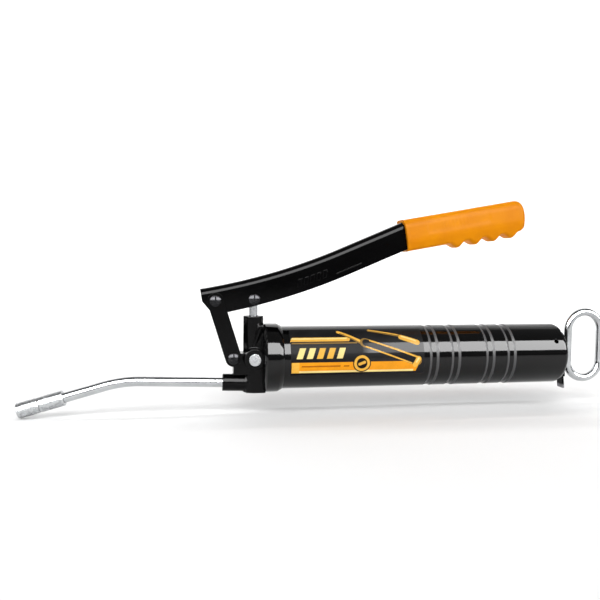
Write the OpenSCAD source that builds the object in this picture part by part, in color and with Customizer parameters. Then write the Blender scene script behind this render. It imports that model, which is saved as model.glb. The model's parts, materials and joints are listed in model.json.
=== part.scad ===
// Lever-action grease gun. The barrel lies along X, with its handle towards +X and +Z up.
// The origin is on the barrel's axis, at the rear face of the pump head's collar.

/* [Barrel] */
// Outside diameter of the barrel tube
barrel_d = 57; // [52:0.5:70]
// Length of the barrel behind the collar
barrel_len = 273; // [225:1:340]
// Wall thickness of the barrel tube
barrel_wall = 1.5; // [1:0.1:2.2]
// Radius of the closed end's outside corner
end_round = 6; // [3:0.5:9]
// Width of each rolled band
band_w = 7.8; // [5:0.1:10]
// Depth of each rolled band
band_depth = 0.6; // [0.3:0.1:0.8]
// Distance between the starts of the two bands in a group
band_pitch = 21; // [14:0.5:24]
// Distance from the collar to the first group of bands
band_start = 134; // [120:1:150]
// Distance from the collar to the second group of bands
band_start_2 = 188.6; // [180:0.2:200]
// Radius of the air vent hole
vent_r = 2.2; // [1:0.1:3]
// Distance of the air vent from the barrel's closed end
vent_back = 13; // [10:0.5:20]

/* [Pump head] */
// Wall of the collar around the barrel
collar_wall = 2.7; // [2:0.1:5]
// Length of the collar along the barrel
collar_len = 17; // [15:0.5:24]
// Length of barrel that sits inside the collar
thread_len = 10; // [8:0.5:12]
// Distance from the collar's rear face to the pump's axis
pump_x = 25; // [24.5:0.1:28]
// Diameter of the upright pump cylinder
pump_d = 18.4; // [16:0.1:20]
// Height of the pump cylinder's top above the barrel's axis
pump_top = 38.4; // [36:0.1:39]
// Distance of the head's flat underside below the barrel's axis
head_drop = 31.2; // [30:0.1:35]
// Diameter of the outlet nose
nose_d = 15.6; // [14:0.1:16]
// Length of the outlet nose in front of the pump's axis
nose_len = 28; // [26:0.5:34]
// Upward tilt of the outlet and its pipe, in degrees
outlet_tilt = 2; // [0:0.1:3]
// Diameter of the side boss for the bleeder
side_boss_d = 18.6; // [14:0.1:19]
// Reach of the side boss from the pump's axis
side_boss_reach = 17; // [15:0.5:20]

/* [Pump] */
// Diameter of the plunger
plunger_d = 8; // [6:0.1:8.5]
// Radial clearance of running fits
run_gap = 0.05; // [0.02:0.01:0.1]
// Clearance between pieces that are screwed or pressed together
seat_gap = 0.05; // [0.02:0.01:0.1]
// Diameter of the check ball
ball_d = 6; // [5:0.1:6.5]

/* [Link and pins] */
// Distance between the link's two pins
link_len = 53.9; // [50:0.1:58]
// Forward lean of the link, in degrees
link_lean = 17.3; // [15:0.1:18]
// Width of the link's plates
link_w = 14.5; // [12:0.1:15]
// Thickness of each link plate
link_t = 3; // [2:0.1:4]
// Diameter of the pins
pin_d = 5; // [4:0.1:5.5]
// Distance from the pump's axis forward to the link's lower pin
pivot_x = 18.5; // [18:0.1:20]
// Height of the link's lower pin above the barrel's axis
pivot_z = 1; // [0:0.1:3]
// Height of the plunger's pin above the link's upper pin
pin_rise = 1; // [0:0.1:2]

/* [Lever] */
// Height of the lever's channel
lever_h = 24.6; // [22:0.1:26]
// Width of the lever's channel
lever_w = 18; // [16:0.1:19]
// Thickness of the lever's steel
lever_t = 2; // [1.5:0.1:2.5]
// Outside radius of the lever's top corners
lever_round = 6; // [4:0.1:7]
// Length of lever in front of the link's pin
lever_nose = 11.5; // [11:0.1:14]
// Slope of the lever at its front end, in degrees
lever_slope = 9.5; // [8:0.1:11]
// Radius of the lever's upward curve
curve_r = 573; // [500:1:700]
// Angle that the curve turns through, in degrees
curve_a = 13.5; // [10:0.1:15]
// Length of the straight stretch between the curve and the grip
straight_len = 61; // [40:1:90]

/* [Grip] */
// Length of the grip
grip_len = 119.5; // [100:0.5:140]
// Height of the grip without its finger bumps
grip_h = 29.6; // [29:0.1:34]
// Width of the grip
grip_w = 27; // [25:0.1:32]
// Slope of the grip, in degrees
grip_slope = 10.3; // [9:0.1:13]
// How far the finger bumps stand out
bump_h = 4.3; // [2:0.1:6]
// Distance between finger bumps
bump_pitch = 18.1; // [15:0.1:19]
// Distance from the grip's front to its first finger bump
bump_start = 49; // [40:0.5:55]

/* [Pipe and coupler] */
// Outside diameter of the pipe
pipe_d = 9; // [7:0.1:10]
// Bore of the pipe
pipe_bore = 3.5; // [2:0.1:5]
// Length of straight pipe from the nose to the bend
pipe_run = 72; // [50:1:110]
// Radius of the pipe's bend
pipe_bend_r = 104; // [60:1:140]
// Slope of the pipe's end, in degrees below level
pipe_drop = 15.4; // [8:0.1:30]
// Length of straight pipe from the bend to the coupler
pipe_tail = 35; // [20:1:60]
// Outside diameter of the coupler
coupler_d = 13.6; // [13:0.1:16]
// Length of the coupler
coupler_len = 39.6; // [38:0.1:45]
// Diameter of the coupler's mouth
mouth_d = 7.2; // [6.8:0.1:7.6]

/* [Follower and handle] */
// Diameter of the follower's rod
rod_d = 7; // [6:0.1:8]
// Thickness of the follower's rubber cup
cup_t = 14; // [10:0.5:18]
// Diameter of the handle's wire
wire_d = 7.5; // [6:0.1:9]
// Overall height of the handle's loop
loop_h = 73; // [60:0.5:90]
// Overall width of the handle's loop
loop_w = 42; // [36:0.5:55]
// Height of the loop's middle above the rod
loop_rise = 7; // [0:0.5:12]
// Distance from the barrel's end to the loop
loop_gap = 10.2; // [9:0.1:20]

/* [Hidden] */
$fn = 64;
EPS = 0.01;
BLACK = "#17171a";
CHROME = "#d4d6da";
STEEL = "#9a9ca0";
ORANGE = "#f6a11e";
RUBBER = "#26262a";
BRASS = "#c9a34a";

barrel_r = barrel_d / 2;
bore_r = barrel_r - barrel_wall;
collar_r = barrel_r + collar_wall;
collar_chamfer = 2.4;
seat_x = -thread_len - 1;
band_slope = 1.7;
label_t = 0.2;
label_x = [5.5, 128];
label_angles = [-26, 66];

pump_r = pump_d / 2;
plunger_r = plunger_d / 2;
outlet_z = -head_drop + nose_d / 2 + 0.4;
pump_floor = -12;
packing_z = 30;
packing_h = 4;
packing_r = plunger_r + 2.4;
chamber_r = ball_d / 2 + 0.6;
chamber_start = 8;
socket_start = 17;
ball_at = chamber_start + ball_d / 2 + 0.2;

bleeder_z = 0.5;
bleeder_r = 4;
bleeder_flange_r = 5.3;
bleeder_flange_t = 3;
bleeder_seat = 8;
button_r = 1.5;
button_collar_r = 2.4;
spring_hole_r = 2.5;

pin_r = pin_d / 2;
link_gap = lever_w / 2 + 0.3;
link_out = link_gap + link_t;
lug_w = lever_w - 1;
lug_r = link_w / 2 - 0.75;
pin_head_r = pin_r + 2.6;
pin_head_t = 2.6;
pin_dome_r = 8;
pin_tail = 3;
clip_t = 1;
clip_groove = 0.4;
low_pin = [-pump_x - pivot_x, pivot_z];
top_pin = [low_pin.x - link_len * sin(link_lean), low_pin.y + link_len * cos(link_lean)];
plunger_pin_at = [-pump_x, top_pin.y + pin_rise];
slot_centre = -0.75;
slot_half = 1.8;
slot_gap = 0.75;
eye_wall = 2.8;
eye_w = 9;
plunger_low = 2;

lever_start = [top_pin.x - lever_nose * cos(lever_slope), top_pin.y - lever_nose * sin(lever_slope)];
lever_end_slope = lever_slope + curve_a;
curve_end = [lever_start.x + curve_r * (sin(lever_end_slope) - sin(lever_slope)),
             lever_start.y + curve_r * (cos(lever_slope) - cos(lever_end_slope))];
grip_at = [curve_end.x + straight_len * cos(lever_end_slope),
           curve_end.y + straight_len * sin(lever_end_slope)];
tang_h = 18;
tang_len = grip_len - 16;
tang_lap = 12;
grip_gap = 0.15;
grip_corner = 9;
bump_r = 7;
grip_bumps = 4;

pipe_turn = outlet_tilt + pipe_drop;
pipe_inset = nose_len - socket_start;
coupler_inset = 9;

body_split = 21;
body_thread = 6;
sleeve_wall = 1.1;
jaw_len = 6.4;
jaw_step = 0.3;
jaw_stop = coupler_len - 4;
piston_r = coupler_d / 2 - 2.25;

rod_r = rod_d / 2;
wire_r = wire_d / 2;
cup_front = -0.5;
washer_t = 1.5;
nut_t = 4;
follower_back = cup_front + cup_t + washer_t;
guide_flange_t = 2;
guide_r = rod_r + 2.5;
guide_flange_r = guide_r + 3;
loop_left = barrel_len + loop_gap;
loop_bend = loop_w / 2 - wire_r;
loop_side = loop_h / 2 - wire_r - loop_bend;
loop_mid = [loop_left + wire_r + loop_bend, loop_rise];

latch_pivot = [barrel_len + 3.6, 13];
latch_t = 1.8;
latch_w = 15;
latch_tilt = 5.5;
latch_len = 48;
latch_hole_r = rod_r + 0.8;
latch_pin_r = 1;
latch_roll_r = 2.2;

// Places children whose +Z is to run along +X, starting at x.
module along_x(x = 0) {
    translate([x, 0, 0]) rotate([0, 90, 0]) children();
}

// Cylinder across the gun, from y = a to y = b.
module cross_bar(x, z, r, a, b) {
    translate([x, b, z]) rotate([90, 0, 0]) cylinder(r = r, h = b - a);
}

// Frame of the outlet: +Z runs forward and slightly up, from the pump's axis.
module in_outlet() {
    translate([-pump_x, 0, outlet_z]) rotate([0, -90 + outlet_tilt, 0]) children();
}

// Frame of the link: +Z runs from its lower pin to its upper pin.
module in_link() {
    translate([low_pin.x, 0, low_pin.y]) rotate([0, -link_lean, 0]) children();
}

// Frame of the lever: +X runs back from its front end.
module in_lever() {
    translate([lever_start.x, 0, lever_start.y]) rotate([0, -lever_slope, 0]) children();
}

// Frame of the grip: +X runs back from its front face.
module in_grip() {
    translate([grip_at.x, 0, grip_at.y]) rotate([0, -grip_slope, 0]) children();
}

// Frame of the coupler: +Z runs from its rear face to its mouth.
module in_coupler() {
    in_outlet() translate([0, 0, nose_len + pipe_run])
        translate([-pipe_bend_r * (1 - cos(pipe_turn)), 0, pipe_bend_r * sin(pipe_turn)])
            rotate([0, -pipe_turn, 0]) translate([0, 0, pipe_tail]) children();
}

// Frame of the latch: the origin is its pivot, and the plate hangs down and back.
module in_latch() {
    translate([latch_pivot.x, 0, latch_pivot.y]) rotate([0, -latch_tilt, 0]) children();
}

// Coil spring along +Z, made as one swept tube with six sides.
module coil(r, wire, length, turns, steps = 14) {
    sides = 6;
    rings = turns * steps;
    points = [
        for (i = [0 : rings]) for (j = [0 : sides - 1])
            let (a = 360 * i / steps, b = 360 * j / sides, q = r + wire / 2 * cos(b))
                [q * cos(a), q * sin(a), wire / 2 * sin(b) + (length - wire) * i / rings + wire / 2]
    ];
    walls = [
        for (i = [0 : rings - 1]) for (j = [0 : sides - 1])
            let (k = (j + 1) % sides)
                [i * sides + j, (i + 1) * sides + j, (i + 1) * sides + k, i * sides + k]
    ];
    first = [for (j = [0 : sides - 1]) j];
    last = [for (j = [0 : sides - 1]) rings * sides + sides - 1 - j];
    polyhedron(points = points, faces = concat(walls, [first, last]));
}

// Hollow cylinder along +Z.
module ring(outer, inner, h) {
    difference() {
        cylinder(r = outer, h = h);
        translate([0, 0, -1]) cylinder(r = inner, h = h + 2);
    }
}

// Half section of a closed can of radius r that ends at x, from x = a.
module can_section(r, a, x, round_r) {
    translate([0, a]) square([r, x - a - round_r]);
    translate([0, x - round_r - 1]) square([r - round_r, round_r + 1]);
    translate([r - round_r, x - round_r]) circle(r = round_r);
}

module barrel() {
    bands = [band_start, band_start + band_pitch, band_start_2, band_start_2 + band_pitch];
    color(BLACK) difference() {
        along_x() rotate_extrude() intersection() {
            difference() {
                can_section(barrel_r, -thread_len, barrel_len, end_round);
                can_section(bore_r, -thread_len - 1, barrel_len - barrel_wall, end_round - barrel_wall);
                for (b = bands) polygon([
                    [barrel_r + EPS, b], [barrel_r - band_depth, b + band_slope],
                    [barrel_r - band_depth, b + band_w - band_slope], [barrel_r + EPS, b + band_w]
                ]);
            }
            translate([0, -thread_len]) square([barrel_d, barrel_len + thread_len]);
        }
        along_x(barrel_len - 5) cylinder(r = guide_r + seat_gap, h = 10);
        translate([barrel_len - vent_back, 0, 0]) rotate([60, 0, 0]) cylinder(r = vent_r, h = barrel_d);
    }
}

module barrel_label() {
    color(ORANGE) along_x(label_x[0]) rotate([0, 0, 270 - label_angles[1]])
        rotate_extrude(angle = label_angles[1] - label_angles[0])
            translate([barrel_r, 0]) square([label_t, label_x[1] - label_x[0]]);
}

module head_gasket() {
    color(RUBBER) along_x(seat_x) ring(barrel_r, bore_r - 2, 1);
}

module head_block() {
    along_x() rotate_extrude() polygon([
        [0, -collar_len], [collar_r - collar_chamfer, -collar_len], [collar_r, -collar_len + collar_chamfer],
        [collar_r, -4], [barrel_r + 0.8, 0], [0, 0]
    ]);
    translate([-pump_x, 0, -head_drop]) cylinder(r = pump_r, h = head_drop + pump_top);
    translate([-pump_x, -pump_r, -head_drop]) cube([pump_x - collar_len + 3, pump_d, 54]);
    in_outlet() cylinder(d = nose_d, h = nose_len);
    translate([-pump_x - 7, -nose_d / 2, -head_drop]) cube([9, nose_d, nose_d / 2]);
    cross_bar(low_pin.x, low_pin.y, lug_r, -lug_w / 2, lug_w / 2);
    translate([low_pin.x, -lug_w / 2, outlet_z]) cube([pivot_x, lug_w, pivot_z + 4 - outlet_z]);
    cross_bar(-pump_x, bleeder_z, side_boss_d / 2, -side_boss_reach, 0);
}

module pump_head() {
    color(BLACK) difference() {
        head_block();
        along_x(seat_x) cylinder(r = barrel_r + seat_gap, h = 40);
        along_x(seat_x - 1.5) cylinder(r = bore_r - 4, h = 10);
        translate([-pump_x, 0, pump_floor]) cylinder(r = plunger_r + run_gap, h = 60);
        translate([-pump_x, 0, outlet_z]) cylinder(r = 2.5, h = pump_floor - outlet_z + 1);
        translate([-pump_x, 0, packing_z]) cylinder(r = packing_r + seat_gap, h = packing_h + 2 * seat_gap);
        along_x(-pump_x) translate([-8, 0, 0]) cylinder(r = 2.5, h = pump_x - 8);
        in_outlet() {
            cylinder(r = 2, h = chamber_start + 1);
            translate([0, 0, chamber_start]) cylinder(r = chamber_r, h = socket_start - chamber_start + 1);
            translate([0, 0, socket_start]) cylinder(r = pipe_d / 2 + seat_gap, h = nose_len);
        }
        cross_bar(low_pin.x, low_pin.y, pin_r + run_gap, -20, 20);
        cross_bar(-pump_x, bleeder_z, bleeder_r + seat_gap, -30, -bleeder_seat);
        cross_bar(-pump_x, bleeder_z, 1, -20, 0);
    }
}

module plunger_packing() {
    color(RUBBER) translate([-pump_x, 0, packing_z + seat_gap])
        ring(packing_r, plunger_r + run_gap, packing_h);
}

module check_ball() {
    color(CHROME) in_outlet() translate([0, 0, ball_at]) sphere(d = ball_d);
}

module check_spring() {
    from = ball_at + ball_d / 2 - 0.9;
    color(STEEL) in_outlet() translate([0, 0, from]) coil(2.4, 0.5, socket_start - from, 3);
}

// Bleeder: a flanged plug that holds a sprung button.
module bleeder_body() {
    top = side_boss_reach;
    color(CHROME) difference() {
        union() {
            cross_bar(-pump_x, bleeder_z, bleeder_r, -top, -bleeder_seat - 0.1);
            cross_bar(-pump_x, bleeder_z, bleeder_flange_r, -top - bleeder_flange_t, -top);
        }
        cross_bar(-pump_x, bleeder_z, button_r + run_gap, -30, 0);
        cross_bar(-pump_x, bleeder_z, spring_hole_r, -top, 0);
    }
}

module bleeder_button() {
    top = side_boss_reach;
    color(BRASS) {
        cross_bar(-pump_x, bleeder_z, button_r, -top - bleeder_flange_t - 1.2, -top + 1);
        cross_bar(-pump_x, bleeder_z, button_collar_r, -top + 0.2, -top + 1.4);
    }
}

module bleeder_spring() {
    length = side_boss_reach - 1.5 - bleeder_seat - 0.1;
    color(STEEL) translate([-pump_x, -bleeder_seat - 0.1, bleeder_z]) rotate([90, 0, 0])
        coil(1.9, 0.5, length, 5, 12);
}

// The pipe's run at radius r, with its bend at radius r + step and open ends longer by over.
module pipe_solid(r, step, over) {
    lap = 1;
    in_outlet() {
        translate([0, 0, socket_start - over]) cylinder(r = r, h = pipe_inset + pipe_run + over + lap);
        translate([-pipe_bend_r, 0, nose_len + pipe_run]) rotate([90, 0, 0])
            rotate_extrude(angle = pipe_turn) translate([pipe_bend_r, 0]) circle(r = r + step);
    }
    in_coupler() translate([0, 0, -pipe_tail - lap])
        cylinder(r = r, h = lap + pipe_tail + coupler_inset + over);
}

module outlet_pipe() {
    color(CHROME) difference() {
        pipe_solid(pipe_d / 2, -0.02, 0);
        pipe_solid(pipe_bore / 2, 0.02, 1);
    }
}

module coupler_body() {
    color(CHROME) in_coupler() difference() {
        union() {
            cylinder(d = coupler_d, h = body_split);
            cylinder(r = coupler_d / 2 - sleeve_wall, h = body_split + body_thread);
        }
        translate([0, 0, -1]) cylinder(r = pipe_d / 2 + seat_gap, h = coupler_inset + 1);
        cylinder(r = 2, h = body_split);
        translate([0, 0, coupler_inset + 3]) cylinder(r = piston_r + run_gap, h = 40);
    }
}

module coupler_sleeve() {
    color(CHROME) in_coupler() difference() {
        translate([0, 0, body_split]) cylinder(d = coupler_d, h = coupler_len - body_split);
        cylinder(r = coupler_d / 2 - sleeve_wall + seat_gap, h = jaw_stop);
        cylinder(d = mouth_d, h = coupler_len + 1);
    }
}

module coupler_jaws() {
    slit = 1;
    color(STEEL) in_coupler() translate([0, 0, jaw_stop - 0.2 - jaw_len]) difference() {
        ring(coupler_d / 2 - sleeve_wall - run_gap, mouth_d / 2 - jaw_step, jaw_len);
        for (a = [0, 90]) rotate([0, 0, a]) translate([-10, -slit / 2, -1]) cube([20, slit, jaw_len + 2]);
    }
}

module coupler_seal() {
    color(RUBBER) in_coupler() translate([0, 0, jaw_stop - 0.3 - jaw_len - 2]) ring(piston_r, 1.2, 2);
}

module coupler_piston() {
    base = coupler_inset + 12.5;
    color(BRASS) in_coupler() translate([0, 0, base])
        ring(piston_r, 1, jaw_stop - 0.4 - jaw_len - 2 - base);
}

module coupler_spring() {
    from = coupler_inset + 3;
    color(STEEL) in_coupler() translate([0, 0, from]) coil(piston_r - 1, 0.8, 9.4, 5, 12);
}

// Flat link plate with round ends, bored for both pins.
module link() {
    color(BLACK) difference() {
        in_link() {
            for (side = [-1, 1]) translate([0, side * (link_gap + link_t / 2), 0]) {
                translate([-link_w / 2, -link_t / 2, 0]) cube([link_w, link_t, link_len]);
                for (z = [0, link_len]) translate([0, 0, z]) rotate([90, 0, 0])
                    cylinder(d = link_w, h = link_t, center = true);
            }
            translate([-link_w / 2, -link_out, 12]) cube([2.5, 2 * link_out, 20]);
        }
        cross_bar(low_pin.x, low_pin.y, pin_r + run_gap, -20, 20);
        cross_bar(top_pin.x, top_pin.y, pin_r + seat_gap, -20, 20);
    }
}

// Pin with a slotted head on the near side and a clip groove on the far side.
module pin(at, half) {
    color(STEEL) difference() {
        union() {
            cross_bar(at.x, at.y, pin_r, -half - 0.3, half + pin_tail);
            intersection() {
                cross_bar(at.x, at.y, pin_head_r, -half - 0.2 - pin_head_t, -half - 0.2);
                translate([at.x, pin_dome_r - half - 0.2 - pin_head_t, at.y]) sphere(r = pin_dome_r);
            }
        }
        translate([at.x - 0.6, -half - pin_head_t - 1.2, at.y - 10]) cube([1.2, 2.2, 20]);
        translate([at.x, half + 0.3 + clip_t, at.y]) rotate([90, 0, 0]) ring(10, pin_r - clip_groove, clip_t);
    }
}

// Open spring clip that sits in a pin's groove.
module clip(at, half) {
    color(STEEL) translate([at.x, half + 0.35 + clip_t * 0.9, at.y]) rotate([90, 0, 0]) rotate([0, 0, -60])
        rotate_extrude(angle = 300) translate([pin_r - clip_groove + 0.05, 0]) square([2, clip_t * 0.9]);
}

module link_pin_lower() { pin(low_pin, link_out); }
module link_pin_upper() { pin(top_pin, link_out); }
module lower_pin_clip() { clip(low_pin, link_out); }
module upper_pin_clip() { clip(top_pin, link_out); }
module plunger_pin() { pin(plunger_pin_at, lever_w / 2); }
module plunger_pin_clip() { clip(plunger_pin_at, lever_w / 2); }

// Rounded slot across the gun, around the plunger's pin.
module eye_slot(r, w) {
    for (side = [-1, 1])
        cross_bar(plunger_pin_at.x + slot_centre + side * slot_half, plunger_pin_at.y, r, -w / 2, w / 2);
    translate([plunger_pin_at.x + slot_centre - slot_half, -w / 2, plunger_pin_at.y - r])
        cube([2 * slot_half, w, 2 * r]);
}

module plunger() {
    slot_r = pin_r + slot_gap;
    color(CHROME) difference() {
        union() {
            translate([-pump_x, 0, plunger_low])
                cylinder(r = plunger_r, h = plunger_pin_at.y - slot_r - 1 - plunger_low);
            eye_slot(slot_r + eye_wall, eye_w);
        }
        eye_slot(slot_r, eye_w + 2);
    }
}

// Outline of an arch from x = top to x = bottom, with corners of radius r at the top.
function arch(top, bottom, w, r) = concat(
    [[bottom, w / 2]],
    [for (a = [0 : 22.5 : 90]) [top + r * (1 - sin(a)), w / 2 - r * (1 - cos(a))]],
    [for (a = [90 : -22.5 : 0]) [top + r * (1 - sin(a)), r * (1 - cos(a)) - w / 2]],
    [[bottom, -w / 2]]
);

// Section of the lever's channel: X is downwards, Y is across.
module channel(h, w, r) {
    difference() {
        polygon(arch(-h / 2, h / 2, w, r));
        polygon(arch(lever_t - h / 2, h, w - 2 * lever_t, r - lever_t));
    }
}

module lever_curve() {
    translate([0, 0, curve_r]) rotate([90, 0, 0]) rotate([0, 0, -90])
        rotate_extrude(angle = curve_a) translate([curve_r, 0]) channel(lever_h, lever_w, lever_round);
}

module lever_straight() {
    translate([curve_r * sin(curve_a), 0, curve_r * (1 - cos(curve_a))]) rotate([0, 90 - curve_a, 0])
        linear_extrude(straight_len) channel(lever_h, lever_w, lever_round);
}

module lever() {
    color(BLACK) difference() {
        union() {
            in_lever() {
                lever_curve();
                lever_straight();
            }
            in_grip() translate([-tang_lap, 0, 0]) rotate([0, 90, 0])
                linear_extrude(tang_len + tang_lap) channel(tang_h, lever_w - lever_t, 3);
        }
        in_lever() rotate([90, 0, 0]) translate([0, 0, -30]) linear_extrude(60)
            polygon([[-5, 1], [0, 1], [8.5, -lever_h / 2 - 1], [-5, -lever_h / 2 - 1]]);
        cross_bar(top_pin.x, top_pin.y, pin_r + run_gap, -20, 20);
        cross_bar(plunger_pin_at.x, plunger_pin_at.y, pin_r + seat_gap, -20, 20);
    }
}

// Side outline of the grip, with its finger bumps along the underside.
module grip_outline() {
    end_r = 13;
    difference() {
        union() {
            translate([0, -grip_h / 2]) square([grip_len - end_r, grip_h]);
            translate([grip_len - 2 * end_r, -grip_h / 2 + end_r]) square([2 * end_r, grip_h - 2 * end_r]);
            translate([grip_len - end_r, grip_h / 2 - end_r]) circle(r = end_r);
            translate([grip_len - end_r, end_r - grip_h / 2]) circle(r = end_r);
            for (i = [0 : grip_bumps - 1])
                translate([bump_start + i * bump_pitch, -grip_h / 2 - bump_h + bump_r]) circle(r = bump_r);
        }
    }
}

module lever_grip() {
    depth = grip_h / 2 + bump_h + 1;
    color(ORANGE) difference() {
        in_grip() intersection() {
            rotate([90, 0, 0]) translate([0, 0, -grip_w / 2]) linear_extrude(grip_w) grip_outline();
            rotate([90, 0, 90]) linear_extrude(grip_len) union() {
                translate([-grip_w / 2, -depth + grip_corner])
                    square([grip_w, depth + grip_h / 2 - 2 * grip_corner]);
                translate([-grip_w / 2 + grip_corner, -depth])
                    square([grip_w - 2 * grip_corner, depth + grip_h / 2]);
                for (side = [-1, 1]) for (v = [-depth + grip_corner, grip_h / 2 - grip_corner])
                    translate([side * (grip_w / 2 - grip_corner), v]) circle(r = grip_corner);
            }
        }
        in_grip() translate([-5, -lever_w / 2 - grip_gap, -tang_h / 2 - grip_gap])
            cube([tang_len + 5.5, lever_w + 2 * grip_gap, tang_h + 2 * grip_gap]);
        in_lever() translate([curve_r * sin(curve_a), 0, curve_r * (1 - cos(curve_a))])
            rotate([0, -curve_a, 0]) translate([0, -lever_w / 2 - grip_gap, -lever_h / 2 - grip_gap])
                cube([straight_len + 0.5, lever_w + 2 * grip_gap, lever_h + 2 * grip_gap]);
    }
}

module rod_guide() {
    color(BRASS) difference() {
        union() {
            along_x(barrel_len - barrel_wall) cylinder(r = guide_r, h = barrel_wall);
            along_x(barrel_len - barrel_wall - guide_flange_t)
                cylinder(r = guide_flange_r, h = guide_flange_t);
        }
        along_x(barrel_len - 10) cylinder(r = rod_r + run_gap, h = 20);
    }
}

// Ears that hold the latch's pin on the barrel's closed end.
module latch_bracket() {
    ear_in = latch_w / 2 + 0.3;
    ear_t = 1.6;
    color(BLACK) difference() {
        union() {
            translate([barrel_len, -ear_in - ear_t, latch_pivot.y - 3.5])
                cube([1, 2 * (ear_in + ear_t), 7]);
            for (side = [-1, 1])
                translate([barrel_len, side * (ear_in + ear_t / 2) - ear_t / 2, latch_pivot.y - 3.5])
                    cube([latch_pivot.x - barrel_len + 2.8, ear_t, 7]);
        }
        cross_bar(latch_pivot.x, latch_pivot.y, latch_pin_r + seat_gap, -20, 20);
    }
}

module latch_pin() {
    reach = latch_w / 2 + 2.4;
    color(STEEL) cross_bar(latch_pivot.x, latch_pivot.y, latch_pin_r, -reach, reach);
}

module rod_latch() {
    color(STEEL) difference() {
        in_latch() {
            rotate([90, 0, 0]) translate([0, 0, -latch_w / 2]) cylinder(r = latch_roll_r, h = latch_w);
            translate([-latch_t / 2, -latch_w / 2, -latch_len + 12]) cube([latch_t, latch_w, latch_len - 12]);
            translate([-latch_t / 2, -5, -latch_len]) cube([latch_t, 10, 13]);
        }
        cross_bar(latch_pivot.x, latch_pivot.y, latch_pin_r + run_gap, -20, 20);
        along_x(barrel_len) cylinder(r = latch_hole_r, h = 20);
    }
}

module latch_spring() {
    color(STEEL) along_x(barrel_len) coil(rod_r + 1.8, 0.7, 3.1, 2, 16);
}

module follower_rod() {
    color(CHROME) along_x(cup_front - nut_t - washer_t - 1)
        cylinder(r = rod_r, h = loop_left + 0.5 - cup_front + nut_t + washer_t + 1);
}

module handle_loop() {
    color(CHROME) difference() {
        union() {
            for (side = [-1, 1]) {
                translate([loop_mid.x + side * loop_bend, 0, loop_mid.y - loop_side])
                    cylinder(r = wire_r, h = 2 * loop_side);
                translate([loop_mid.x, 0, loop_mid.y + side * loop_side]) rotate([90, 0, 0])
                    rotate([0, 0, side > 0 ? 0 : 180])
                        rotate_extrude(angle = 180) translate([loop_bend, 0]) circle(r = wire_r);
            }
        }
        along_x(loop_left - 5) cylinder(r = rod_r + seat_gap, h = 5.5 + seat_gap);
    }
}

// Hexagonal nuts on both sides of the follower.
module follower_nuts() {
    color(STEEL) for (x = [cup_front - washer_t - nut_t, follower_back]) difference() {
        along_x(x) cylinder(r = rod_r + 3.2, h = nut_t, $fn = 6);
        along_x(x - 1) cylinder(r = rod_r + seat_gap, h = nut_t + 2);
    }
}

module follower_front_washer() {
    color(STEEL) along_x(cup_front - washer_t) ring(bore_r - 7, rod_r + seat_gap, washer_t);
}

// Rubber cup whose lip wipes the bore.
module follower_cup() {
    lip = 3;
    color(RUBBER) along_x(cup_front) difference() {
        cylinder(r = bore_r - run_gap, h = cup_t);
        translate([0, 0, -1]) cylinder(r = rod_r + seat_gap, h = cup_t + 2);
        translate([0, 0, -EPS]) ring(bore_r - lip, bore_r - 6.5, 5);
        translate([0, 0, cup_t - 5]) ring(bore_r - lip, bore_r - 6.5, 6);
    }
}

module follower_rear_washer() {
    color(STEEL) along_x(cup_front + cup_t) ring(bore_r - 7, rod_r + seat_gap, washer_t);
}

module follower_spring() {
    length = barrel_len - barrel_wall - guide_flange_t - follower_back;
    color(STEEL) along_x(follower_back) coil(bore_r - 11, 2.2, length, 20, 18);
}

barrel();
barrel_label();
head_gasket();
pump_head();
plunger_packing();
check_ball();
check_spring();
bleeder_body();
bleeder_button();
bleeder_spring();
outlet_pipe();
coupler_body();
coupler_sleeve();
coupler_jaws();
coupler_seal();
coupler_piston();
coupler_spring();
link();
link_pin_lower();
link_pin_upper();
lower_pin_clip();
upper_pin_clip();
plunger();
plunger_pin();
plunger_pin_clip();
lever();
lever_grip();
rod_guide();
latch_bracket();
latch_pin();
rod_latch();
latch_spring();
follower_rod();
handle_loop();
follower_nuts();
follower_front_washer();
follower_cup();
follower_rear_washer();
follower_spring();
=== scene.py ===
# Lever grease gun: finishes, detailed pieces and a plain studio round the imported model.
import bpy
import bmesh
import json
import math
from mathutils import Matrix, Vector


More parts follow.
